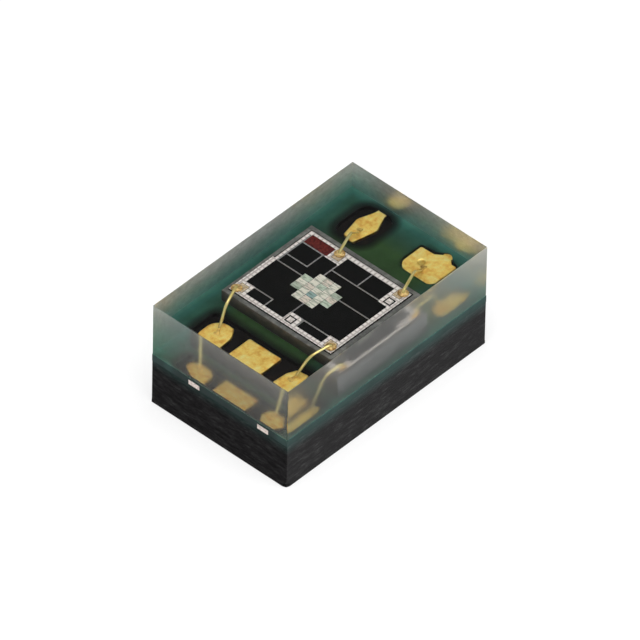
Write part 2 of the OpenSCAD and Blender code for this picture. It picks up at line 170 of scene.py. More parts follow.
def add_ramp(made, source, stops):
    """A colour ramp over source; stops are (position, (r, g, b)) in linear colour."""
    ramp = made.node_tree.nodes.new("ShaderNodeValToRGB")
    elements = ramp.color_ramp.elements
    while len(elements) < len(stops):
        elements.new(0.5)
    for element, (position, colour) in zip(elements, stops):
        element.position = position
        element.color = (*colour, 1.0)
    plug(made, source, ramp.inputs["Fac"])
    return ramp.outputs["Color"]


def add_stains(made, point, size, stops, detail=4.0):
    """Colour that wanders over stops in patches of about size millimetres."""
    return add_ramp(made, add_noise(made, point, size, detail=detail), stops)


def add_range(made, source, low, high, start=0.3, end=0.7):
    """A number that runs from low to high while source runs from start to end."""
    node = made.node_tree.nodes.new("ShaderNodeMapRange")
    node.inputs["From Min"].default_value = start
    node.inputs["From Max"].default_value = end
    node.inputs["To Min"].default_value = low
    node.inputs["To Max"].default_value = high
    plug(made, source, node.inputs["Value"])
    return node.outputs["Result"]


def split(made, point):
    """The X, Y and Z of a point, in metres."""
    node = made.node_tree.nodes.new("ShaderNodeSeparateXYZ")
    plug(made, point, node.inputs["Vector"])
    return node.outputs


def add_slope(made, point, axis, start, end, low=0, high=1):
    """A number that runs from low to high along an axis, between two places in millimetres."""
    return add_range(made, split(made, point)[axis], low, high, start * MM, end * MM)


def add_bump(made, shader, source, depth, strength=0.5):
    """Bump of about depth millimetres from source."""
    node = made.node_tree.nodes.new("ShaderNodeBump")
    node.inputs["Strength"].default_value = strength
    node.inputs["Distance"].default_value = depth * MM
    plug(made, source, node.inputs["Height"])
    plug(made, node.outputs["Normal"], shader.inputs["Normal"])


def calculate(made, operation, first, second=None):
    """A number worked out from an output and, where there is a second, another output or a value."""
    node = made.node_tree.nodes.new("ShaderNodeMath")
    node.operation = operation
    plug(made, first, node.inputs[0])
    if isinstance(second, bpy.types.NodeSocket):
        plug(made, second, node.inputs[1])
    elif second is not None:
        node.inputs[1].default_value = second
    return node.outputs["Value"]


def product(made, first, second):
    """The product of two numbers."""
    return calculate(made, "MULTIPLY", first, second)


def least(made, values):
    """The smallest of several numbers."""
    lowest = values[0]
    for value in values[1:]:
        lowest = calculate(made, "MINIMUM", lowest, value)
    return lowest


def mix_colours(made, blend, first, second):
    """Two colours in full, joined by the way named in blend."""
    node = made.node_tree.nodes.new("ShaderNodeMix")
    node.data_type = "RGBA"
    node.blend_type = blend
    node.inputs["Factor"].default_value = 1.0
    plug(made, first, node.inputs["A"])
    plug(made, second, node.inputs["B"])
    return node.outputs["Result"]


def multiply(made, first, second):
    """The product of two colours."""
    return mix_colours(made, "MULTIPLY", first, second)


def box_distance(made, point, low, high, radius):
    """How far a point lies outside a round-cornered box in plan, in metres; the box is in millimetres."""
    middle = (low + high) / 2
    half = (high - low) / 2 - Vector((radius, radius))
    out = point
    for operation, value in (("SUBTRACT", (middle.x * MM, middle.y * MM, 0)), ("MULTIPLY", (1, 1, 0)),
                             ("ABSOLUTE", None), ("SUBTRACT", (half.x * MM, half.y * MM, 0)),
                             ("MAXIMUM", (0, 0, 0)), ("LENGTH", None)):
        step = made.node_tree.nodes.new("ShaderNodeVectorMath")
        step.operation = operation
        plug(made, out, step.inputs[0])
        if value is not None:
            step.inputs[1].default_value = value
        out = step.outputs["Value" if operation == "LENGTH" else "Vector"]
    return calculate(made, "SUBTRACT", out, radius * MM)


def frame_share(made, point, low, high, width):
    """How near a point is to the outline of a box in plan: 0 further in than width, 1 on the outline."""
    places = split(made, point)
    shares = []
    for axis, start, stop in (("X", low.x, high.x), ("Y", low.y, high.y)):
        offset = calculate(made, "SUBTRACT", places[axis], (start + stop) / 2 * MM)
        half = (stop - start) / 2
        size = calculate(made, "ABSOLUTE", offset)
        shares.append(add_range(made, size, 0, 1, (half - width) * MM, half * MM))
    return calculate(made, "MAXIMUM", *shares)


# Resin

RESIN_INDEX = 1.52
# Along Y, where the painted reflection of the mask's teal edge in the back corner starts and where it is full
BACK_REFLECTION_START = 0.28
BACK_REFLECTION_FULL = 0.56
# Along X, where a side's milkiness starts to grow
GROWTH_START = 0.1
# Tint of the hazed sawn sides from the foot up: painted light and shade, pale at the top and darker at the
# foot, where it is a painted reflection of the parts inside
LEFT_HAZE_AND_SHADE = [(0.08, (0.70, 0.61, 0.42)), (0.35, (0.70, 0.68, 0.58)), (0.75, (0.74, 0.76, 0.72)),
             (1.0, (0.84, 0.86, 0.84))]
FRONT_HAZE_AND_SHADE = [(0.08, (0.34, 0.50, 0.40)), (0.35, (0.57, 0.61, 0.54)), (0.75, (0.70, 0.70, 0.66)),
              (1.0, (0.80, 0.80, 0.75))]
BACK_HAZE_AND_SHADE = [(0.05, (0.22, 0.48, 0.40)), (0.40, (0.54, 0.74, 0.68)), (0.70, (0.88, 0.92, 0.89)),
             (1.0, (1.0, 1.0, 0.98))]
# Painted reflection of the mask's teal edge, laid low in the back corner of the left side
PAINTED_MASK_REFLECTION_TINT = (0.10, 0.82, 0.66)


def polished_resin():
    """The moulded top of the clear block."""
    made, shader, _ = new_material("polished_resin")
    set_all(shader, {"Base Color": (0.97, 0.985, 0.98, 1), "Transmission Weight": 1.0, "IOR": RESIN_INDEX,
                     "Roughness": 0.0})
    return made


def sawn_resin(name, haze_and_shade, milky, roughness, growth=1.0, back_reflection_tint=WHITE):
    """A side of the clear block, hazed by the saw.

    The tint from the foot up is the saw's hazing with painted light and shade: pale at the top and darker at
    the foot, where it is a painted reflection of the parts inside. The back tint, a painted reflection of the
    mask's teal edge, multiplies it low in the back corner. milky is how much of it scatters light at its foot
    and at its top, and growth how many times that at its right end.
    """
    made, shader, point = new_material(name)
    set_all(shader, {"IOR": RESIN_INDEX, "Specular Tint": (0.15, 0.15, 0.15, 1)})
    # Painted light and shade: the sides' tint follows the height, pale at the top and darker at the foot
    height = add_slope(made, point, "Z", core_high.z, package_high.z)
    back = add_slope(made, point, "Y", BACK_REFLECTION_START, BACK_REFLECTION_FULL)
    # Painted reflection of the mask's teal edge, strongest low in the back corner
    low_back_reflection = product(made, back, add_range(made, height, 1, 0.15, 0.1, 0.9))
    tint = add_ramp(made, low_back_reflection, [(0.0, WHITE), (1.0, back_reflection_tint)])
    plug(made, multiply(made, add_ramp(made, height, haze_and_shade), tint), shader.inputs["Base Color"])
    marks = add_noise(made, point, 0.03, stretch=(8, 8, 1))
    plug(made, add_range(made, marks, *roughness), shader.inputs["Roughness"])
    mottle = add_noise(made, point, 0.05, detail=6, roughness=0.7)
    share = product(made, add_range(made, height, *milky, 0, 1), add_range(made, mottle, 0.75, 1.25))
    share = product(made, share, add_slope(made, point, "X", GROWTH_START, end_x, 1, growth))
    plug(made, add_range(made, share, 1, 0, 0, 1), shader.inputs["Transmission Weight"])
    return made


# The saw left the left end finest, the front side less fine and the two back faces coarse
POLISHED_RESIN = polished_resin()
LEFT_RESIN = sawn_resin("left_sawn_resin", LEFT_HAZE_AND_SHADE, (0.010, 0.11), (0.21, 0.24), back_reflection_tint=PAINTED_MASK_REFLECTION_TINT)
FRONT_RESIN = sawn_resin("front_sawn_resin", FRONT_HAZE_AND_SHADE, (0.008, 0.055), (0.285, 0.305), growth=4.4)
BACK_RESIN = sawn_resin("back_sawn_resin", BACK_HAZE_AND_SHADE, (0.24, 0.60), (0.32, 0.38))


# Substrate

# How far in from the sawn faces painted light makes the mask look teal
PAINTED_EDGE_LIGHT_WIDTH = 0.30
# The mask's openings as low corner, high corner and corner radius
OPENINGS = (
    (Vector((-0.955, -0.520)), Vector((-0.565, 0.440)), 0.05),
    (Vector((0.574, 0.149)), Vector((0.950, 0.439)), 0.10),
    (Vector((0.680, -0.400)), Vector((0.870, -0.170)), 0.02),
)
# How far around an opening painted shade makes the mask look black
OPENING_SHADE_WIDTH = 0.075
# How far down the saw smeared the mask over the laminate
SMEAR = 0.085
# Depth of the laminate's upper skin, which is darker than its sides
SKIN = 0.001
# How far below its top painted shade darkens a land, and where that starts
LAND_SHADE = 0.012
LAND_SHADE_START = 0.001
# The terminals lie wholly above this height, so their gold gets no painted shade
UNDER_ALL = -0.01


def opening_shade(made, point):
    """Painted shade: nearly black at the mask's openings, white away from them."""
    distances = [box_distance(made, point, *opening) for opening in OPENINGS]
    share = add_range(made, least(made, distances), 0, 1, 0, OPENING_SHADE_WIDTH * MM)
    return add_ramp(made, share, [(0.0, (0.06, 0.05, 0.05)), (0.35, (0.28, 0.26, 0.28)), (1.0, WHITE)])


def green_mask():
    """Solder mask: dark green over the laminate; painted light makes it bluer near the sawn edges, and
    painted shade makes it black by its openings and darker on its sides.
    """
    made, shader, point = new_material("green_mask")
    # Painted light: the mask turns teal and paler towards the sawn faces
    edges = frame_share(made, point, package_low, package_high, PAINTED_EDGE_LIGHT_WIDTH)
    colour = add_ramp(made, edges,
                      [(0.0, (0.040, 0.098, 0.030)), (0.45, (0.028, 0.085, 0.056)),
                       (0.75, (0.030, 0.120, 0.090)), (0.88, (0.044, 0.165, 0.130)),
                       (1.0, (0.085, 0.230, 0.190))])
    colour = multiply(made, colour, opening_shade(made, point))
    clouds = add_stains(made, point, 0.20, [(0.3, (0.60, 0.60, 0.60)), (0.7, WHITE)], detail=3)
    # Painted shade: the mask's sides are darker than its top
    height = add_slope(made, point, "Z", mask_low.z, mask_high.z)
    shade = add_ramp(made, height, [(0.0, (0.20, 0.20, 0.22)), (0.95, (0.26, 0.28, 0.30)), (0.99, WHITE)])
    plug(made, multiply(made, multiply(made, colour, clouds), shade), shader.inputs["Base Color"])
    set_all(shader, {"Specular IOR Level": 0.10, "Roughness": 0.40})
    add_bump(made, shader, add_noise(made, point, 0.03, detail=3), 0.002, 0.4)
    return made


def sawn_laminate(name, specks, shine, smear):
    """Near-black laminate with level saw streaks and specks of glass, and the mask smeared over its top."""
    made, shader, point = new_material(name)
    streaks = add_noise(made, point, 0.024, detail=6, roughness=0.72, stretch=(4, 4, 1))
    colour = add_ramp(made, streaks, [(0.36, (0.002, 0.002, 0.002)), (0.50, (0.011, 0.010, 0.011)),
                                      (0.62, [0.032 * specks] * 3), (0.74, [0.070 * specks] * 3)])
    smeared = add_slope(made, point, "Z", core_high.z - SMEAR, core_high.z)
    film = add_ramp(made, smeared, [(0.0, BLACK), (0.45, [0.3 * c for c in smear]), (1.0, smear)])
    skin = add_ramp(made, add_slope(made, point, "Z", core_high.z - SKIN, core_high.z),
                    [(0.0, WHITE), (1.0, (0.16, 0.06, 0.05))])
    sides = mix_colours(made, "ADD", colour, film)
    plug(made, multiply(made, sides, skin), shader.inputs["Base Color"])
    set_all(shader, {"Specular IOR Level": shine})
    plug(made, add_range(made, streaks, 0.45, 0.75), shader.inputs["Roughness"])
    add_bump(made, shader, streaks, 0.006, 0.7)
    return made


def plated_gold(name, top):
    """Electroplated gold with a slightly lumpy skin, and painted shade darkening it below top."""
    made, shader, point = new_material(name)
    lumps = add_noise(made, point, 0.050, detail=5, roughness=0.6)
    tint = add_ramp(made, lumps, [(0.32, (0.86, 0.46, 0.09)), (0.5, (0.98, 0.70, 0.17)),
                                  (0.68, (1, 0.83, 0.30))])
    # Painted shade: darker in the dimple and down the land's sides
    height = add_slope(made, point, "Z", top - LAND_SHADE, top - LAND_SHADE_START)
    depth = add_ramp(made, height, [(0.0, (0.30, 0.26, 0.22)), (0.6, (0.72, 0.67, 0.56)), (1.0, WHITE)])
    plug(made, multiply(made, tint, depth), shader.inputs["Base Color"])
    set_all(shader, {"Metallic": 0.85})
    plug(made, add_range(made, lumps, 0.60, 0.48), shader.inputs["Roughness"])
    add_bump(made, shader, lumps, 0.004, 0.6)
    return made


def cut_plating():
    """The sawn end of a plating stub: bare metal, pale against the laminate."""
    made, shader, point = new_material("cut_plating")
    grain = add_stains(made, point, 0.012, [(0.35, (0.52, 0.42, 0.37)), (0.6, (0.82, 0.72, 0.66))])
    plug(made, grain, shader.inputs["Base Color"])
    set_all(shader, {"Metallic": 0.2, "Roughness": 0.5})
    return made


def cut_copper():
    """Copper of the vias."""
    made, shader, point = new_material("cut_copper")
    grain = add_stains(made, point, 0.01, [(0.3, (0.55, 0.24, 0.13)), (0.7, (0.72, 0.36, 0.22))])
    plug(made, grain, shader.inputs["Base Color"])
    set_all(shader, {"Metallic": 1.0, "Roughness": 0.35})
    return made


GREEN_MASK = green_mask()
SAWN_LAMINATE = sawn_laminate("sawn_laminate", 1.0, 0.10, (0.022, 0.046, 0.042))
# A darker copy of the laminate for the end faces: painted shade
SHADED_END_LAMINATE = sawn_laminate("shaded_end_laminate", 0.7, 0.02, (0.008, 0.024, 0.021))
LAND_GOLD = plated_gold("land_gold", land_top)
TERMINAL_GOLD = plated_gold("terminal_gold", UNDER_ALL)
CUT_PLATING = cut_plating()
CUT_COPPER = cut_copper()


# Wires and chip

# Height of a wire's squashed ball
BALL_H = 0.022
# How far in from the chip's left face the painted shade at its foot reaches
LEFT_SHADE_REACH = 0.004
# Width of the chip's saw street, and of the metal ring inside it
STREET_W = 0.036
RING_W = 0.040
# Distance between the marks across the ring, and half the width of one
TICK_PERIOD = 0.038
TICK_HALF = 0.009
# How far the bright frame around a pad reaches, and over what width it ends
PAD_FRAME = 0.040
PAD_FRAME_END = 0.004


def wire_gold():
    """Drawn gold wire, smooth and bright."""
    made, shader, point = new_material("wire_gold")
    stains = add_stains(made, point, 0.06, [(0.3, (1.0, 0.77, 0.24)), (0.7, (1.0, 0.88, 0.40))], detail=2)
    plug(made, stains, shader.inputs["Base Color"])
    set_all(shader, {"Metallic": 0.55, "Roughness": 0.22})
    return made


def stitch_gold():
    """The squeezed end of a wire: dented gold, browner than the land under it."""
    made, shader, point = new_material("stitch_gold")
    dents = add_stains(made, point, 0.035, [(0.35, (0.56, 0.34, 0.08)), (0.65, (0.88, 0.60, 0.16))], detail=1)
    plug(made, dents, shader.inputs["Base Color"])
    set_all(shader, {"Metallic": 0.55, "Roughness": 0.60})
    return made


def ball_gold():
    """The melted ball of a wire: redder gold, with painted shade darkening it towards its foot and in its
    dents.
    """
    made, shader, point = new_material("ball_gold")
    # Painted shade: the ball darkens towards its foot
    height = add_slope(made, point, "Z", film_high.z, film_high.z + BALL_H)
    tint = add_ramp(made, height, [(0.2, (0.50, 0.28, 0.08)), (0.7, (0.95, 0.62, 0.18)),
                                   (1.0, (1.0, 0.76, 0.34))])
    dents = add_noise(made, point, 0.018, detail=3)
    # Painted shade in the dents
    painted_dent_shade = add_ramp(made, dents, [(0.38, (0.50, 0.36, 0.24)), (0.60, WHITE)])
    plug(made, multiply(made, tint, painted_dent_shade), shader.inputs["Base Color"])
    set_all(shader, {"Metallic": 0.6, "Roughness": 0.55})
    add_bump(made, shader, dents, 0.004, 0.7)
    return made


def die_glue():
    """Grey die attach film."""
    made, shader, point = new_material("die_glue")
    grain = add_stains(made, point, 0.02, [(0.3, (0.05, 0.05, 0.05)), (0.7, (0.10, 0.10, 0.10))])
    plug(made, grain, shader.inputs["Base Color"])
    set_all(shader, {"Roughness": 0.6})
    return made


def sawn_silicon():
    """The chip's silicon: mottled grey sides darkened towards the foot by painted shade, a darker top face,
    and painted shade darkest at the foot of the left side.
    """
    made, shader, point = new_material("sawn_silicon")
    marks = add_noise(made, point, 0.024, detail=5, stretch=(2, 2, 1))
    sides = add_ramp(made, marks, [(0.35, (0.25, 0.24, 0.265)), (0.65, (0.48, 0.46, 0.50))])
    lumps = add_stains(made, point, 0.055, [(0.38, (0.66, 0.66, 0.66)), (0.62, WHITE)], detail=2)
    height = add_slope(made, point, "Z", die_low.z, die_high.z)
    # Painted shade: the sides darken towards the foot; the top face is darker too
    shade = add_ramp(made, height, [(0.0, (0.70, 0.68, 0.71)), (0.5, (0.84, 0.83, 0.84)), (0.9, WHITE),
                                    (0.985, WHITE), (0.998, (0.60, 0.62, 0.53))])
    # Painted shade at the foot of the left side
    left = add_slope(made, point, "X", die_low.x, die_low.x + LEFT_SHADE_REACH, 1, 0)
    left_shade_share = product(made, left, add_range(made, height, 0.80, 0.06, 0, 0.95))
    left_foot_shade = add_ramp(made, left_shade_share, [(0.0, WHITE), (0.05, (0.58, 0.52, 0.45)), (1.0, BLACK)])
    bare = multiply(made, multiply(made, sides, lumps), shade)
    plug(made, multiply(made, bare, left_foot_shade), shader.inputs["Base Color"])
    set_all(shader, {"Metallic": 0.3})
    plug(made, add_range(made, marks, 0.35, 0.50), shader.inputs["Roughness"])
    return made


def dark_circuit():
    """The black light-blocking layer of the chip, and the grey saw street around it."""
    made, shader, point = new_material("dark_circuit")
    street = frame_share(made, point, die_low, die_high, STREET_W)
    colour = add_ramp(made, street, [(0.26, (0.004, 0.004, 0.004)), (0.34, (0.20, 0.175, 0.165)),
                                     (0.58, (0.24, 0.21, 0.20)), (0.66, (0.075, 0.07, 0.065)),
                                     (0.80, (0.088, 0.092, 0.084))])
    stains = add_stains(made, point, 0.05, [(0.35, (0.55, 0.58, 0.56)), (0.65, WHITE)])
    plug(made, multiply(made, colour, stains), shader.inputs["Base Color"])
    set_all(shader, {"Roughness": 0.35, "Specular IOR Level": 0.06})
    return made


def ring_marks(made, point):
    """Faint dark marks across the metal ring, one every TICK_PERIOD along X and along Y."""
    places = split(made, point)
    waves = []
    for axis, start in (("X", film_low.x), ("Y", film_low.y)):
        offset = calculate(made, "SUBTRACT", places[axis], (start + TICK_PERIOD / 3) * MM)
        waves.append(calculate(made, "PINGPONG", offset, TICK_PERIOD / 2 * MM))
    ticks = add_range(made, least(made, waves), 0, 1, 0, TICK_HALF * MM)
    return add_ramp(made, ticks, [(0.0, (0.52, 0.48, 0.47)), (1.0, WHITE)])


def pad_frames(made, point):
    """White on the frames around the pads, black elsewhere."""
    pads = [mm_box(node) for node in ["pad_" + side for side in SIDES] + list(PROBE_PADS)]
    nearest = least(made, [box_distance(made, point, low.xy, high.xy, 0) for low, high in pads])
    share = add_range(made, nearest, 1, 0, PAD_FRAME * MM, (PAD_FRAME + PAD_FRAME_END) * MM)
    return add_ramp(made, share, [(0.0, BLACK), (1.0, WHITE)])


def grid_metal():
    """Aluminium film: the ring and the frames are bright with faint marks across, the lines inside duller."""
    made, shader, point = new_material("grid_metal")
    marks = ring_marks(made, point)
    ring = frame_share(made, point, film_low, film_high, RING_W)
    ring = add_ramp(made, ring, [(0.0, BLACK), (0.06, WHITE)])
    bright = mix_colours(made, "LIGHTEN", ring, pad_frames(made, point))
    colour = add_ramp(made, bright, [(0.0, (0.36, 0.36, 0.35)), (1.0, (1.0, 0.94, 0.90))])
    plug(made, multiply(made, colour, marks), shader.inputs["Base Color"])
    set_all(shader, {"Metallic": 0.1, "Roughness": 0.45})
    return made


def pad_metal(name, darker, lighter):
    """The film of a pad, stained by the probe or the ball that touched it."""
    made, shader, point = new_material(name)
    stains = add_stains(made, point, 0.015, [(0.35, darker), (0.65, lighter)], detail=3)
    plug(made, stains, shader.inputs["Base Color"])
    set_all(shader, {"Metallic": 0.1, "Roughness": 0.5})
    return made


def photodiode_cell():
    """Pale striped cells; each one has a tint of its own in the attribute cell_tint."""
    made, shader, point = new_material("photodiode_cell")
    tint = made.node_tree.nodes.new("ShaderNodeAttribute")
    tint.attribute_name = "cell_tint"
    streaks = add_noise(made, point, 0.013, detail=2, stretch=(1, 4, 1))
    stripes = add_ramp(made, streaks, [(0.40, (0.55, 0.60, 0.54)), (0.52, WHITE)])
    plug(made, multiply(made, tint.outputs["Color"], stripes), shader.inputs["Base Color"])
    set_all(shader, {"Roughness": 0.4})
    add_bump(made, shader, add_noise(made, point, 0.006), 0.0005, 0.3)
    return made


def red_filter():
    """Dark red filter film with a fine mottle."""
    made, shader, point = new_material("red_filter")
    mottle = add_stains(made, point, 0.020, [(0.35, (0.050, 0.004, 0.004)), (0.65, (0.200, 0.024, 0.018))],
                        detail=3)
    plug(made, mottle, shader.inputs["Base Color"])
    set_all(shader, {"Roughness": 0.4, "Specular IOR Level": 0.15})
    return made


WIRE_GOLD = wire_gold()
BALL_GOLD = ball_gold()
STITCH_GOLD = stitch_gold()
DIE_GLUE = die_glue()
SAWN_SILICON = sawn_silicon()
DARK_CIRCUIT = dark_circuit()
GRID_METAL = grid_metal()
BOND_PAD = pad_metal("bond_pad", (0.44, 0.30, 0.16), (0.88, 0.72, 0.50))
PROBE_PAD = pad_metal("probe_pad", (0.62, 0.56, 0.52), (1.0, 0.94, 0.90))
PHOTODIODE_CELL = photodiode_cell()
RED_FILTER = red_filter()


# Pieces

# Corners of a CAD node closer than this are one
MERGE = 0.00002
# A face is square to an axis where its normal has more than this along it, and upright where it has
# less than this along Z
SQUARE_ON = 0.9
UPRIGHT = 0.5


def finish_piece(bm, name, materials, node, smooth=False):
    """Turns a bmesh in millimetres into a piece in metres that rides on the part and replaces its node."""
    bmesh.ops.scale(bm, vec=(MM, MM, MM), verts=bm.verts)
    mesh = bpy.data.meshes.new(name)
    bm.to_mesh(mesh)
    bm.free()
    for made in materials:
        mesh.materials.append(made)
    mesh.polygons.foreach_set("use_smooth", [smooth] * len(mesh.polygons))
    piece = bpy.data.objects.new(name, mesh)
    bpy.context.collection.objects.link(piece)
    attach(piece, "root")
    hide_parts(node)


def merged_copy(node):
    """A CAD node's mesh as a clean bmesh in millimetres: joined up, with its flat faces whole."""
    bm = bmesh.new()
    bm.from_mesh(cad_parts[node].data)
    bmesh.ops.scale(bm, vec=(1 / MM, 1 / MM, 1 / MM), verts=bm.verts)
    bmesh.ops.remove_doubles(bm, verts=bm.verts, dist=MERGE)
    bmesh.ops.dissolve_limit(bm, angle_limit=math.radians(1), use_dissolve_boundaries=False,
                             verts=bm.verts, edges=bm.edges, delimit=set())
    return bm


def bevel(bm, geom, width, segments, affect="EDGES"):
    """Rounds edges, or corners where affect is VERTICES."""
    bmesh.ops.bevel(bm, geom=geom, offset=width, offset_type="OFFSET", affect=affect, segments=segments,
                    profile=0.5, material=-1, clamp_overlap=True)


def at_front_left(vert):
    """Whether a corner lies on the package's front left upright edge, the one nearest the camera."""
    return vert.co.x < NEAR - end_x and vert.co.y < NEAR - side_y


def give(node, made):
    """Gives a CAD node its material."""
    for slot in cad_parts[node].material_slots:
        slot.material = made


BLOCK_BEVEL = 0.004
BLOCK_INSET = 0.001
# The block's top points up by more than this, and its bevel by less
BLOCK_LEVEL = 0.99
# A face of the block goes with the back sides where it leans that way by more than this
BLOCK_LEAN = 0.5
POLISHED, LEFT, FRONT, BACK = 0, 1, 2, 3


def make_clear_block():
    """The resin as one plain block: what it encloses stands inside it."""
    bm = bmesh.new()
    bmesh.ops.create_cube(bm, size=1.0)
    low = Vector((-end_x + BLOCK_INSET, -side_y + BLOCK_INSET, core_high.z - BLOCK_INSET))
    high = Vector((end_x - BLOCK_INSET, side_y - BLOCK_INSET, package_high.z))
    bmesh.ops.scale(bm, vec=high - low, verts=bm.verts)
    bmesh.ops.translate(bm, vec=(low + high) / 2, verts=bm.verts)
    upper = [e for e in bm.edges if any(v.co.z > high.z - BLOCK_INSET for v in e.verts)]
    bevel(bm, upper, BLOCK_BEVEL, 3)
    for face in bm.faces:
        away = face.normal
        if away.z > BLOCK_LEVEL:
            face.material_index = POLISHED
        elif away.x > BLOCK_LEAN or away.y > BLOCK_LEAN:
            face.material_index = BACK
        else:
            face.material_index = LEFT if away.x < away.y else FRONT
    resins = [POLISHED_RESIN, LEFT_RESIN, FRONT_RESIN, BACK_RESIN]
    finish_piece(bm, "clear_block", resins, "clear_mould")


CORE_BEVEL = 0.004
CORE_CHIP = 0.045


def make_core():
    """The laminate with softened corners; the lower front left one is chipped."""
    bm = merged_copy("substrate_core")
    chipped = [v for v in bm.verts if at_front_left(v) and v.co.z < core_low.z + NEAR]
    bevel(bm, chipped, CORE_CHIP, 2, "VERTICES")
    corners = [e for e in bm.edges if all(abs(v.co.x) > end_x - NEAR and abs(v.co.y) > side_y - NEAR
                                          for v in e.verts)]
    bevel(bm, corners, CORE_BEVEL, 2)
    # The end faces take the darker copy of the laminate: painted shade
    for face in bm.faces:
        face.material_index = 1 if abs(face.normal.x) > SQUARE_ON else 0
    finish_piece(bm, "laminate_core", [SAWN_LAMINATE, SHADED_END_LAMINATE], "substrate_core")


MASK_CHIP = 0.034


def make_lower_mask():
    """The solder mask of the underside: dark sawn sides, its front left corner worn off under the core's."""
    bm = merged_copy("bottom_mask")
    corner = [e for e in bm.edges if all(at_front_left(v) for v in e.verts)]
    bevel(bm, corner, MASK_CHIP, 2)
    for face in bm.faces:
        middle = face.calc_center_median()
        outside = max(abs(middle.x) - end_x, abs(middle.y) - side_y) > -MASK_CHIP / 2
        if outside and abs(face.normal.z) < UPRIGHT:
            # The sawn end faces take the darker copy of the laminate: painted shade
            face.material_index = 2 if abs(face.normal.x) > SQUARE_ON else 1
    finishes = [GREEN_MASK, SAWN_LAMINATE, SHADED_END_LAMINATE]
    finish_piece(bm, "lower_mask", finishes, "bottom_mask")


LAND_BEVEL = 0.010
LAND_WOBBLE = 0.005
LAND_WOBBLE_SIZE = 0.05
# Without a seed of its own the noise would follow the clock
LAND_SEED = 1
# A land is true this far in from the end face, and grows uneven over the next stretch
LAND_TRUE = 0.06
LAND_EASE = 0.05


def make_land(node):
    """A plated land: soft upper edge and a slightly uneven outline, apart from its sawn stub end."""
    bm = merged_copy(node)
    top = [e for e in bm.edges if all(abs(v.co.z - land_top) < SAME for v in e.verts)
           and all(abs(v.co.x) < end_x - NEAR for v in e.verts)]
    bevel(bm, top, LAND_BEVEL, 3)
    noise.seed_set(LAND_SEED)
    for vert in bm.verts:
        inside = min(1.0, max(0.0, (end_x - abs(vert.co.x) - LAND_TRUE) / LAND_EASE))
        shift = noise.noise_vector(vert.co / LAND_WOBBLE_SIZE) * LAND_WOBBLE * inside
        vert.co.x += shift.x
        vert.co.y += shift.y
    for face in bm.faces:
        face.material_index = 1 if abs(face.calc_center_median().x) > end_x - SAME else 0
    finish_piece(bm, node + "_plated", [LAND_GOLD, CUT_PLATING], node)


# Bond wires: the same places and bends as in the CAD, with rounder rings. A ring is (way along the
# wire's plane, height, slope of the wire, half width across the plane, half height square to the wire).
WIRE_R = 0.011
WIRE_SIDES = 20
# The ball, and how much narrower it is at its foot and its top than in the middle
BALL_R = 0.040
BALL_BULGE = 0.010
BALL_STEPS = 8
# The neck above the ball as (rise, radius)
NECK = ((0.0015, 0.022), (0.0030, 0.016), (0.0050, 0.012))
# The loop's top, its bends at the ball and at the land, and the knee between them
LOOP_H = 0.055
BEND_R = 0.024
BEND_STEPS = 8
KNEE_R = 0.100
KNEE_SHARE = 0.60
KNEE_DROP = 0.020
# The stitch as (way past its middle, share of its width, share of its thickness)
STITCH_W = 0.048
STITCH_T = 0.007
STITCH_SHAPE = ((0.024, 0.60, 2.2), (0.030, 0.72, 1.6), (0.036, 0.90, 1.2), (0.042, 1.0, 1.0),
                (0.050, 0.95, 0.7), (0.058, 0.80, 0.4))
# Where the balls lie: in from the metal ring's corners, the back one up from the chip's middle instead
BALL_LEFT_IN = (0.033, 0.041)
BALL_FRONT_IN = (0.046, 0.040)
BALL_BACK_IN = 0.042
BALL_BACK_UP = 0.165
BALL_RIGHT_IN = (0.034, 0.046)
# Where the stitches lie, in from the package's end face and side face
STITCH_LEFT_IN = (0.324, 0.316)
STITCH_FRONT_IN = (0.335, 0.238)
STITCH_BACK_IN = (0.320, 0.345)
STITCH_RIGHT_IN = (0.295, 0.335)
DRAWN, BALL, STITCH = 0, 1, 2


def ring_at(p, slope, half_width, half_height):
    """A ring at a point of the wire's plane."""
    return (p.x, p.y, slope, half_width, half_height)


def unit(slope):
    """One step along a slope."""
    return Vector((math.cos(slope), math.sin(slope)))


def bend(corner, a, b, radius):
    """Rings around a bend at corner, from slope a to slope b."""
    turn = math.copysign(math.pi / 2, b - a)
    start = corner - radius * math.tan(abs(a - b) / 2) * unit(a)
    middle = start + radius * unit(a + turn)
    slopes = [a + (b - a) * k / BEND_STEPS for k in range(BEND_STEPS + 1)]
    return [ring_at(middle - radius * unit(c + turn), c, WIRE_R, WIRE_R) for c in slopes]


def ball_rings():
    """The squashed ball and its neck."""
    steps = [k / BALL_STEPS for k in range(BALL_STEPS + 1)]
    shape = [(BALL_H * t, BALL_R - BALL_BULGE * (2 * t - 1) ** 2) for t in steps]
    shape += [(BALL_H + rise, r) for rise, r in NECK]
    return [ring_at(Vector((0, film_high.z + rise)), math.pi / 2, r, r) for rise, r in shape]


def stitch_rings(span):
    """The flattened end on the land, fanned out and thinned."""
    return [ring_at(Vector((span + way, land_top + STITCH_T * thick / 2)), 0.0, STITCH_W * wide / 2,
                    STITCH_T * thick / 2) for way, wide, thick in STITCH_SHAPE]


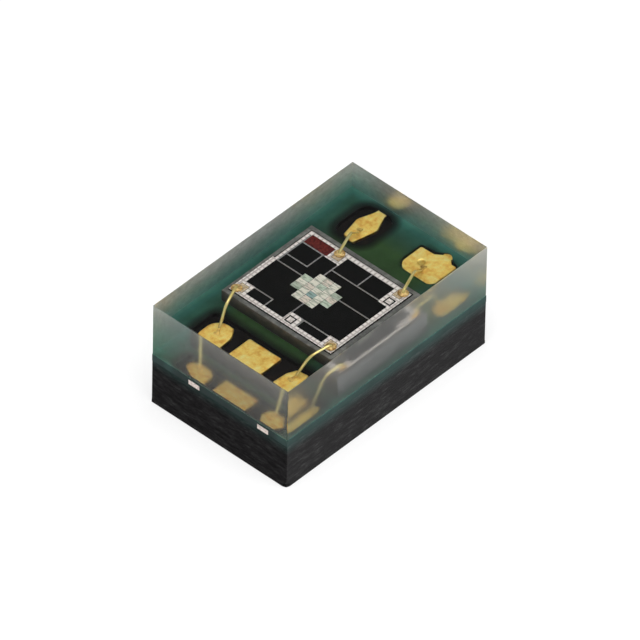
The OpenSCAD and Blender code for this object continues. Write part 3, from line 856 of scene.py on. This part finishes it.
def wire_rings(span):
    """All rings of a wire, each with the finish of the stretch that ends at it."""
    top = Vector((0, film_high.z + LOOP_H))
    knee = Vector((KNEE_SHARE * span, film_high.z + LOOP_H - KNEE_DROP))
    foot = Vector((span, land_top + WIRE_R))
    a = math.atan2(knee.y - top.y, knee.x - top.x)
    b = math.atan2(foot.y - knee.y, foot.x - knee.x)
    landing = bend(foot, b, 0.0, BEND_R)
    drawn = bend(top, math.pi / 2, a, BEND_R) + bend(knee, a, b, KNEE_R) + landing[:1]
    squeezed = landing[1:] + stitch_rings(span)
    stretches = ((BALL, ball_rings()), (DRAWN, drawn), (STITCH, squeezed))
    return [(finish, ring) for finish, rings in stretches for ring in rings]


def ring_matrix(ring):
    """What turns a circle of radius 1 into a ring."""
    way, height, slope, half_width, half_height = ring
    return Matrix((
        (0, -math.sin(slope) * half_height, math.cos(slope), way),
        (half_width, 0, 0, 0),
        (0, math.cos(slope) * half_height, math.sin(slope), height),
        (0, 0, 0, 1),
    ))


def sweep(bm, rings):
    """Grows a tube from ring to ring."""
    bmesh.ops.create_circle(bm, segments=WIRE_SIDES, radius=1.0, cap_ends=False)
    edges = bm.edges[:]
    verts = bm.verts[:]
    done = Matrix.Identity(4)
    for k, (finish, ring) in enumerate(rings):
        if k:
            grown = bmesh.ops.extrude_edge_only(bm, edges=edges)["geom"]
            edges = [e for e in grown if isinstance(e, bmesh.types.BMEdge)]
            verts = [v for v in grown if isinstance(v, bmesh.types.BMVert)]
            for face in (f for f in grown if isinstance(f, bmesh.types.BMFace)):
                face.material_index = finish
        target = ring_matrix(ring)
        bmesh.ops.transform(bm, matrix=target @ done.inverted(), verts=verts)
        done = target


def make_wire(node, ball, stitch):
    """A bond wire from its ball to its stitch, both given as (x, y)."""
    way = Vector(stitch) - Vector(ball)
    bm = bmesh.new()
    sweep(bm, wire_rings(way.length))
    ends = [e for e in bm.edges if e.is_boundary]
    for edge in ends:
        edge.smooth = False
    bmesh.ops.holes_fill(bm, edges=ends, sides=0)
    turn = Matrix.Rotation(math.atan2(way.y, way.x), 4, "Z")
    bmesh.ops.transform(bm, matrix=Matrix.Translation((*ball, 0)) @ turn, verts=bm.verts)
    bmesh.ops.recalc_face_normals(bm, faces=bm.faces)
    finish_piece(bm, node + "_gold", [WIRE_GOLD, BALL_GOLD, STITCH_GOLD], node, smooth=True)


def make_wires():
    """The four bond wires, from the chip's pads to the lands at both ends."""
    left = film_low.x
    right = film_high.x
    bottom = film_low.y
    top = film_high.y
    make_wire("wire_left", (left + BALL_LEFT_IN[0], top - BALL_LEFT_IN[1]),
              (-end_x + STITCH_LEFT_IN[0], side_y - STITCH_LEFT_IN[1]))
    make_wire("wire_front", (left + BALL_FRONT_IN[0], bottom + BALL_FRONT_IN[1]),
              (-end_x + STITCH_FRONT_IN[0], -side_y + STITCH_FRONT_IN[1]))
    make_wire("wire_back", (right - BALL_BACK_IN, die_middle.y + BALL_BACK_UP),
              (end_x - STITCH_BACK_IN[0], side_y - STITCH_BACK_IN[1]))
    make_wire("wire_right", (right - BALL_RIGHT_IN[0], bottom + BALL_RIGHT_IN[1]),
              (end_x - STITCH_RIGHT_IN[0], -side_y + STITCH_RIGHT_IN[1]))


# Photodiode cells, measured from the chip's middle
CELL_COLUMNS = (-0.166, -0.094, -0.042, 0.009, 0.061, 0.131)
CELL_ROWS = (-0.142, -0.068, -0.003, 0.062, 0.128, 0.205)
CELL_GAP = 0.003
CREAM = (0.90, 0.87, 0.76)
PINK = (0.86, 0.76, 0.66)
PALE_GREEN = (0.66, 0.74, 0.61)
GREY_GREEN = (0.52, 0.58, 0.47)
TEAL = (0.34, 0.48, 0.46)
CELL_TINTS = (CREAM, PALE_GREEN, PINK, GREY_GREEN, CREAM, PALE_GREEN)
# The one teal cell, by its column and row
TEAL_CELL = (1, 2)


def cell_colour(column, row):
    """A tint that looks chosen at random from cell to cell."""
    if (column, row) == TEAL_CELL:
        return TEAL
    return CELL_TINTS[(column + 4 * row + column * column * row) % len(CELL_TINTS)]


def make_photodiodes():
    """A cross of pale cells: a middle block of three columns and an arm on each side."""
    bm = bmesh.new()
    tint = bm.loops.layers.float_color.new("cell_tint")
    for i in range(5):
        rows = range(5) if 0 < i < 4 else range(1, 4)
        for j in rows:
            made = bmesh.ops.create_cube(bm, size=1.0)["verts"]
            low = Vector((CELL_COLUMNS[i], CELL_ROWS[j], 0))
            high = Vector((CELL_COLUMNS[i + 1], CELL_ROWS[j + 1], 0))
            size = high - low - Vector((CELL_GAP, CELL_GAP, 0))
            size.z = film_high.z - film_low.z
            middle = (low + high) / 2 + Vector((die_middle.x, die_middle.y, (film_high.z + film_low.z) / 2))
            bmesh.ops.scale(bm, vec=size, verts=made)
            bmesh.ops.translate(bm, vec=middle, verts=made)
            for face in {f for v in made for f in v.link_faces}:
                for loop in face.loops:
                    loop[tint] = (*cell_colour(i, j), 1.0)
    finish_piece(bm, "photodiode_cells", [PHOTODIODE_CELL], "photodiode_array")


give("top_mask", GREEN_MASK)
give("die_attach", DIE_GLUE)
give("silicon_die", SAWN_SILICON)
give("circuit_layer", DARK_CIRCUIT)
give("metal_grid", GRID_METAL)
give("red_filter", RED_FILTER)
for side in SIDES:
    give("via_" + side, CUT_COPPER)
    give("terminal_" + side, TERMINAL_GOLD)
    give("pad_" + side, BOND_PAD)
for pad in PROBE_PADS:
    give(pad, PROBE_PAD)
make_clear_block()
make_core()
make_lower_mask()
for land in LANDS:
    make_land(land)
make_wires()
make_photodiodes()


# Floor and light

FLOOR_SIZE = 80.0
FLOOR_GLOW = 0.62
SKY_GLOW = 0.11


def floor_white():
    """A plain white table with a faint glow of its own, so that shadows stay soft."""
    made, shader, _ = new_material("floor_white")
    set_all(shader, {"Base Color": (0.34, 0.34, 0.34, 1), "Roughness": 0.9, "Specular IOR Level": 0.1,
                     "Emission Color": (*WHITE, 1), "Emission Strength": FLOOR_GLOW})
    return made


def make_floor():
    """The table that the part lies on."""
    bm = bmesh.new()
    bmesh.ops.create_grid(bm, x_segments=1, y_segments=1, size=FLOOR_SIZE * MM)
    mesh = bpy.data.meshes.new("floor")
    bm.to_mesh(mesh)
    bm.free()
    mesh.materials.append(floor_white())
    floor = bpy.data.objects.new("floor", mesh)
    bpy.context.collection.objects.link(floor)


def make_area_light(name, at, size, power):
    """A square soft light at a place in millimetres, facing the package."""
    data = bpy.data.lights.new(name, "AREA")
    data.size = size * MM
    data.energy = power
    light = bpy.data.objects.new(name, data)
    aim = Vector((0, 0, package_high.z / 2)) - Vector(at)
    turn = aim.to_track_quat("-Z", "Y").to_matrix().to_4x4()
    light.matrix_world = Matrix.Translation(Vector(at) * MM) @ turn
    bpy.context.collection.objects.link(light)


def make_light():
    """A pale sky, a large softbox above and a smaller one on the right."""
    world = bpy.data.worlds.new("studio")
    world.use_nodes = True
    background = world.node_tree.nodes["Background"]
    background.inputs["Color"].default_value = (*WHITE, 1)
    background.inputs["Strength"].default_value = SKY_GLOW
    bpy.context.scene.world = world
    make_area_light("top_softbox", at=(-4, -4, 25), size=30, power=0.0115)
    make_area_light("right_softbox", at=(8, -22, 9), size=12, power=0.0016)
    bpy.context.scene.view_settings.view_transform = "Standard"


make_floor()
make_light()
